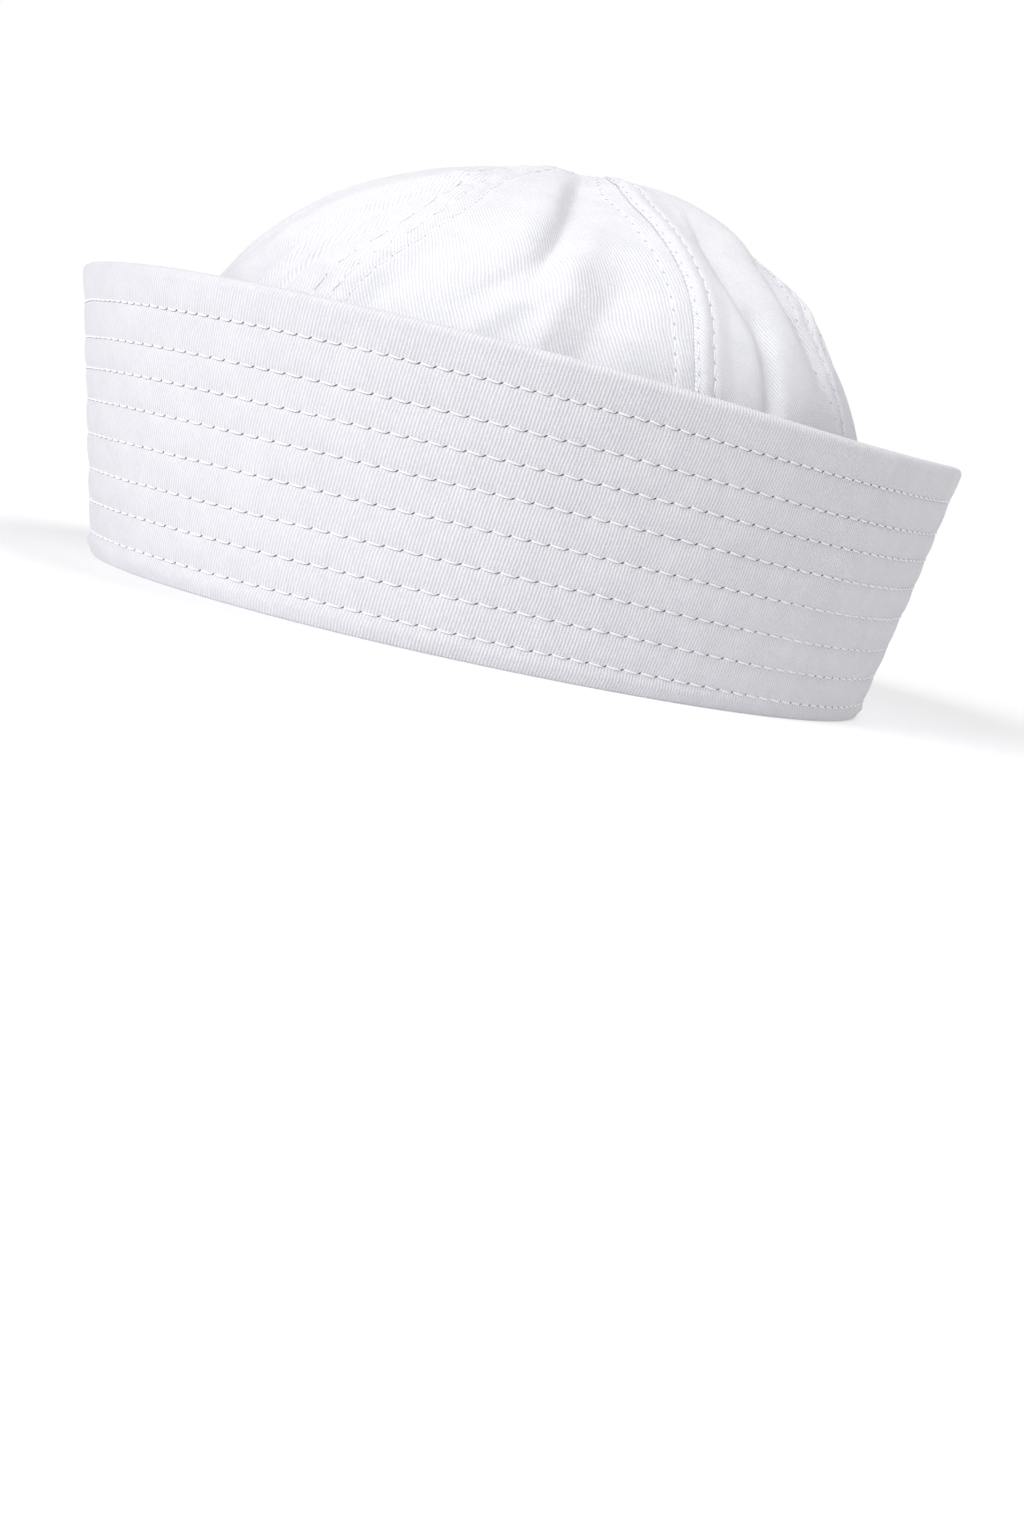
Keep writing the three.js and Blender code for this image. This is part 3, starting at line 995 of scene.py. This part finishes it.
def sew(name, rows, gauge, stand, shaded=False):
    """Thread and needle holes for rows of (place, outward direction), and the shade under the thread."""
    stitches = []
    holes = []
    for row in rows:
        for (start, outward), (end, _) in zip(row, row[1:]):
            stitches.append(stitch_frame(start, end, outward, True))
            holes.append(stitch_frame(start, end, outward, False))
    sewn = [
        set_copies(f"{name}_thread", stitch_shape(gauge, stand), stitches),
        set_copies(f"{name}_needle_holes", hole_shape(gauge * gauge), holes),
    ]
    if shaded:
        sewn.append(set_copies(f"{name}_thread_shade", shade_shape(), stitches))
    return sewn


print("rows to sew:", 2 * len(QUILT_ROWS), "on the brim,", len(SEAMS) * len(SEAM_ROWS), "on the crown")

# %% [markdown]
# ## Rows on the brim
#
# The rows run level round the cone, with 150 to 200 stitches each. Copies could be set along a curve by a
# modifier, but a loop over the stitches puts each one at the exact height of the quilted cloth under it,
# with the slight wobble that a machine leaves. The thread shows on both faces.

# %% Rows of stitching on the brim
ROW_WOBBLE = 0.12 * MM
WALL_TILT = 0.2


def brim_row(row, stitches, inside):
    """Places and outward directions along one row of quilting."""
    places = []
    for number in range(stitches + 1):
        bearing = JOIN_BEARING - 360 + 360 * number / stitches
        rise = row_rise(row, bearing)
        relief = quilt(bearing, rise)
        wave = brim_wave(bearing, rise)
        out = -BRIM_WALL - relief + wave if inside else relief + wave
        wobble = ROW_WOBBLE * noise.noise(Vector((number * 0.31, row * 50, 0)))
        facing = -1 if inside else 1
        outward = (compass(bearing) * facing + Vector((0, 0, -WALL_TILT * facing))).normalized()
        places.append((brim_place(bearing, rise, out, wobble), outward))
    return places


outer_rows = [brim_row(row, stitches, False) for row, stitches in QUILT_ROWS]
inner_rows = [brim_row(row, stitches, True) for row, stitches in QUILT_ROWS]
brim_sewing = sew("brim_outer", outer_rows, gauge=1, stand=1, shaded=True)
brim_sewing += sew("brim_inner", inner_rows, gauge=0.9, stand=0.9)
print("brim thread:", [len(piece.data.polygons) for piece in brim_sewing], "faces")

# %% [markdown]
# ## Rows on the crown
#
# Three rows run up each seam: one on the panel below, one close to the folded edge and one further over.
# Their thread lies flat in the thin cloth, so the dashes stand out less than the brim's. Towards the top
# the rows draw together.

# %% Rows of stitching on the crown's seams
SEAM_PITCH = 3.6 * MM
SEAM_START = 0.09
SEAM_END = 0.95


def seam_row(number, row):
    """Places and outward directions along one row of a seam, at an even pitch up the cloth."""
    steps = int(CROWN_REACH * (SEAM_END - SEAM_START) / SEAM_PITCH)
    places = []
    for step in range(steps + 1):
        way = SEAM_START + (SEAM_END - SEAM_START) * step / steps
        tight = squeeze(way)
        edge = seam_bearing(number, way)
        bearing = edge + degrees_for(edge, way, row * tight)
        # Below the folded edge lies the panel before. The first seam's is the last panel, one turn on.
        panel = number if row > 0 else number - 1
        turn = 360 if panel < 0 else 0
        places.append((crown_place(panel % len(SEAMS), bearing + turn, way), crown_normal(bearing, way)))
    return places


crown_rows = [seam_row(number, row) for number in range(len(SEAMS)) for row in SEAM_ROWS]
crown_sewing = sew("crown", crown_rows, gauge=0.85, stand=0.4)
print("crown thread:", [len(piece.data.polygons) for piece in crown_sewing], "faces")

# %% [markdown]
# ## Finishes
#
# A shader is a graph of nodes, but its maths reads better as expressions. A small class wraps a socket
# and adds a Math node for each operator.


# %% Shader maths as expressions
class Reading:
    """A number that varies over a surface, for use in expressions."""

    def __init__(self, finish, socket):
        self.finish = finish
        self.socket = socket

    def join(self, operation, first, second):
        """A Math node on two values."""
        return self.finish.number("ShaderNodeMath", {"operation": operation}, {0: first, 1: second})

    def __add__(self, other):
        return self.join("ADD", self, other)

    def __radd__(self, other):
        return self.join("ADD", other, self)

    def __sub__(self, other):
        return self.join("SUBTRACT", self, other)

    def __rsub__(self, other):
        return self.join("SUBTRACT", other, self)

    def __mul__(self, other):
        return self.join("MULTIPLY", self, other)

    def __rmul__(self, other):
        return self.join("MULTIPLY", other, self)

    def wave(self):
        """A smooth wave from 0 to 1, once for each whole number."""
        return self.join("SINE", self * (2 * math.pi), 0) * 0.5 + 0.5


# %% [markdown]
# ## A material and its nodes
#
# In the editor a node is added, set and linked by hand. One method does all three from the node's type,
# its settings and its sockets, so that a finish is a few lines long.


# %% A material that adds its own nodes
class Finish:
    """A material, and the methods that add nodes to it."""

    def __init__(self, name):
        self.material = bpy.data.materials.new(name)
        self.material.use_nodes = True
        self.tree = self.material.node_tree
        self.tree.nodes.clear()

    def add(self, kind, settings, sockets):
        """Any node: its type, its settings, then the values or links of its sockets."""
        node = self.tree.nodes.new(kind)
        for name, value in settings.items():
            setattr(node, name, value)
        for name, value in sockets.items():
            if isinstance(value, Reading):
                value = value.socket
            if isinstance(value, bpy.types.NodeSocket):
                self.tree.links.new(value, node.inputs[name])
            else:
                node.inputs[name].default_value = value
        return node

    def number(self, kind, settings, sockets, output=0):
        """The same, as a reading of one of the node's outputs."""
        return Reading(self, self.add(kind, settings, sockets).outputs[output])

    def blend(self, factor, first, second):
        """A colour between two colours."""
        node = self.add("ShaderNodeMix", {"data_type": "RGBA"}, {0: factor, 6: first, 7: second})
        return node.outputs[2]


# %% [markdown]
# ## Cotton twill
#
# The weave's ribs are about 0.7 mm apart. They are a wave across the flat cloth, bent a little by noise
# so that no rib is ruled, and crossed by the finer beat of the yarns. The wave darkens the furrows a
# little and feeds a bump. How much each part weighs was set beside the picture.

# %% The twill of the brim and the crown
RIB = 0.70 * MM
YARN = 0.52 * MM
SLUB_SCALE = 160
FIBRE_SCALE = 1500
WEAVE_DEPTH = 0.22 * MM


def twill(name, light, furrow, relief):
    """Matt white cotton twill, cut as the piece's cut map says."""
    finish = Finish(name)
    cut = finish.add("ShaderNodeUVMap", {"uv_map": "cut"}, {})
    place = finish.add("ShaderNodeSeparateXYZ", {}, {0: cut.outputs[0]})
    across = Reading(finish, place.outputs[0]) * (1 / RIB)
    along = Reading(finish, place.outputs[1]) * (1 / YARN)
    body = finish.add("ShaderNodeTexCoord", {}, {})
    slubs = {"Vector": body.outputs["Object"], "Scale": SLUB_SCALE, "Detail": 2, "Roughness": 0.6}
    fibres = {"Vector": body.outputs["Object"], "Scale": FIBRE_SCALE, "Detail": 3, "Roughness": 0.7}
    slow = finish.number("ShaderNodeTexNoise", {}, slubs)
    fine = finish.number("ShaderNodeTexNoise", {}, fibres)
    rib = (across + slow * 0.7 + fine * 0.45).wave()
    beat = (along + across * 0.5 + fine * 0.8).wave()
    height = rib * 0.7 + beat * 0.3 + fine * 0.55
    # Painted shade: the rib wave darkens the weave's furrows, where shade falls. The slub and fibre noise
    # add tone that differs at random.
    shade = rib * 0.5 + beat * 0.12 + fine * 0.5 + slow * 0.3 - 0.22
    colour = finish.blend(shade, furrow, light)
    bump = finish.add("ShaderNodeBump", {}, {"Strength": relief, "Distance": WEAVE_DEPTH, "Height": height})
    surface = finish.add(
        "ShaderNodeBsdfPrincipled",
        {},
        {
            "Base Color": colour,
            "Roughness": 0.92,
            "Normal": bump.outputs[0],
            "Sheen Weight": 0.15,
            "Sheen Roughness": 0.5,
            "Specular IOR Level": 0.25,
        },
    )
    finish.add("ShaderNodeOutputMaterial", {}, {"Surface": surface.outputs[0]})
    return finish.material


print("ribs every", RIB / MM, "mm, yarns every", YARN / MM, "mm")

# %% [markdown]
# ## Thread, holes and shade
#
# A dash of thread is too small to show its twist, so a pale colour with a little grain is enough. A
# needle hole is dark because little light comes out of it: a dark matt colour stands for that, softer on
# the thin crown.

# %% A plain finish, and every piece's own
GRAIN_SCALE = 900
# The furrow colours below are painted shade: the dark of the weave's furrows.
BRIM_LIGHT = (0.828, 0.823, 0.858, 1)
BRIM_FURROW = (0.55, 0.545, 0.59, 1)
# The crown's colours are lighter than the brim's, though both are the same white cotton: painted light, for
# the light that shines through the crown's thin single layer.
CROWN_LIGHT = (0.9, 0.9, 0.93, 1)
CROWN_FURROW = (0.59, 0.59, 0.64, 1)


def plain(name, colour, roughness):
    """A finish of one colour with a little grain, for thread and for the dark of a hole."""
    finish = Finish(name)
    body = finish.add("ShaderNodeTexCoord", {}, {})
    place = {"Vector": body.outputs["Object"], "Scale": GRAIN_SCALE, "Detail": 1}
    grain = finish.number("ShaderNodeTexNoise", {}, place)
    darker = (colour[0] * 0.9, colour[1] * 0.9, colour[2] * 0.9, 1)
    tone = finish.blend(grain, darker, colour)
    surface = finish.add(
        "ShaderNodeBsdfPrincipled",
        {},
        {"Base Color": tone, "Roughness": roughness, "Specular IOR Level": 0.2},
    )
    finish.add("ShaderNodeOutputMaterial", {}, {"Surface": surface.outputs[0]})
    return finish.material


brim_cloth = twill("brim_twill", BRIM_LIGHT, BRIM_FURROW, 0.55)
crown_cloth = twill("crown_twill", CROWN_LIGHT, CROWN_FURROW, 0.45)
thread_finish = plain("white_thread", (0.9, 0.9, 0.92, 1), 0.6)
hole_finish = plain("needle_hole_shadow", (0.06, 0.06, 0.08, 1), 1)
soft_hole_finish = plain("crown_hole_shadow", (0.42, 0.42, 0.47, 1), 1)
shade_finish = plain("shade_under_thread", (0.34, 0.34, 0.38, 1), 1)
brim_finishes = {"thread": thread_finish, "holes": hole_finish, "shade": shade_finish}
crown_finishes = {"thread": thread_finish, "holes": soft_hole_finish}
brim.data.materials.append(brim_cloth)
for panel in panels:
    panel.data.materials.append(crown_cloth)
for sewing, finishes in ((brim_sewing, brim_finishes), (crown_sewing, crown_finishes)):
    for piece in sewing:
        piece.data.materials.append(finishes[piece.name.rpartition("_")[2]])
print("finishes:", ", ".join(material.name for material in bpy.data.materials if material.users))

# %% [markdown]
# ## Studio
#
# The cap rests on a pale floor. It reaches far past the picture and glows a little, so that it looks as
# light as the surround.

# %% Floor
FLOOR_SIZE = 30.0
FLOOR_COLOUR = (0.62, 0.62, 0.63, 1)
FLOOR_GLOW = 0.36


def make_floor():
    """A wide, pale floor."""
    mesh = bmesh.new()
    bmesh.ops.create_grid(mesh, x_segments=1, y_segments=1, size=FLOOR_SIZE)
    floor = finish_piece(mesh, "floor")
    finish = Finish("pale_floor")
    surface = finish.add(
        "ShaderNodeBsdfPrincipled",
        {},
        {
            "Base Color": FLOOR_COLOUR,
            "Roughness": 1,
            "Specular IOR Level": 0,
            "Emission Color": (1, 1, 1, 1),
            "Emission Strength": FLOOR_GLOW,
        },
    )
    finish.add("ShaderNodeOutputMaterial", {}, {"Surface": surface.outputs[0]})
    floor.data.materials.append(finish.material)
    return floor


floor = make_floor()
print("floor:", round(floor.dimensions.x), "m wide")

# %% [markdown]
# ## Light
#
# A broad lamp on the left of the camera gives the brim its lit left side, and a second one, high behind
# on the right, brightens the top of the crown's right side. A weak third one above the camera, a pale
# surround and the floor keep the shadows open.

# %% Lamps and surround
SURROUND = 0.24
LAMPS = [
    # name, bearing, height (degrees), power, spread (degrees)
    ("key", -11, 27, 2.35, 35),
    ("back", 132, 68, 1.3, 35),
    ("top", 45, 42, 0.55, 60),
]


def make_lamp(name, bearing, height, power, spread):
    """A soft lamp, far off, so that the floor is lit evenly to its far edge."""
    data = bpy.data.lights.new(name, "SUN")
    data.energy = power
    data.angle = math.radians(spread)
    lamp = bpy.data.objects.new(name, data)
    up = Vector((0, 0, math.tan(math.radians(height))))
    lamp.rotation_euler = (compass(bearing) + up).to_track_quat("Z", "Y").to_euler()
    bpy.context.scene.collection.objects.link(lamp)
    return lamp


def make_surround():
    """A pale surround: seen as white by the camera, a softer grey as light."""
    world = bpy.data.worlds.new("surround")
    bpy.context.scene.world = world
    world.use_nodes = True
    tree = world.node_tree
    tree.nodes.clear()
    seen = tree.nodes.new("ShaderNodeLightPath")
    light = tree.nodes.new("ShaderNodeMapRange")
    light.inputs["To Min"].default_value = SURROUND
    light.inputs["To Max"].default_value = 1
    background = tree.nodes.new("ShaderNodeBackground")
    output = tree.nodes.new("ShaderNodeOutputWorld")
    tree.links.new(seen.outputs["Is Camera Ray"], light.inputs["Value"])
    tree.links.new(light.outputs[0], background.inputs["Strength"])
    tree.links.new(background.outputs[0], output.inputs["Surface"])
    background.inputs["Color"].default_value = (1, 1, 1, 1)


lamps = [make_lamp(*lamp) for lamp in LAMPS]
make_surround()
bpy.context.scene.view_settings.view_transform = "Standard"
bpy.context.scene.view_settings.look = "None"
print("lamps:", ", ".join(lamp.name for lamp in lamps), "with a power of", [row[3] for row in LAMPS])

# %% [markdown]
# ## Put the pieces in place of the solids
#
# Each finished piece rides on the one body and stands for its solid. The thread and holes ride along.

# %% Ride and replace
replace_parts(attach(brim, "root"), "brim")
for number, panel in enumerate(panels):
    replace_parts(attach(panel, "root"), f"crown_panel_{number + 1}")
for piece in brim_sewing:
    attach(piece, "root")
for piece in crown_sewing:
    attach(piece, "root")
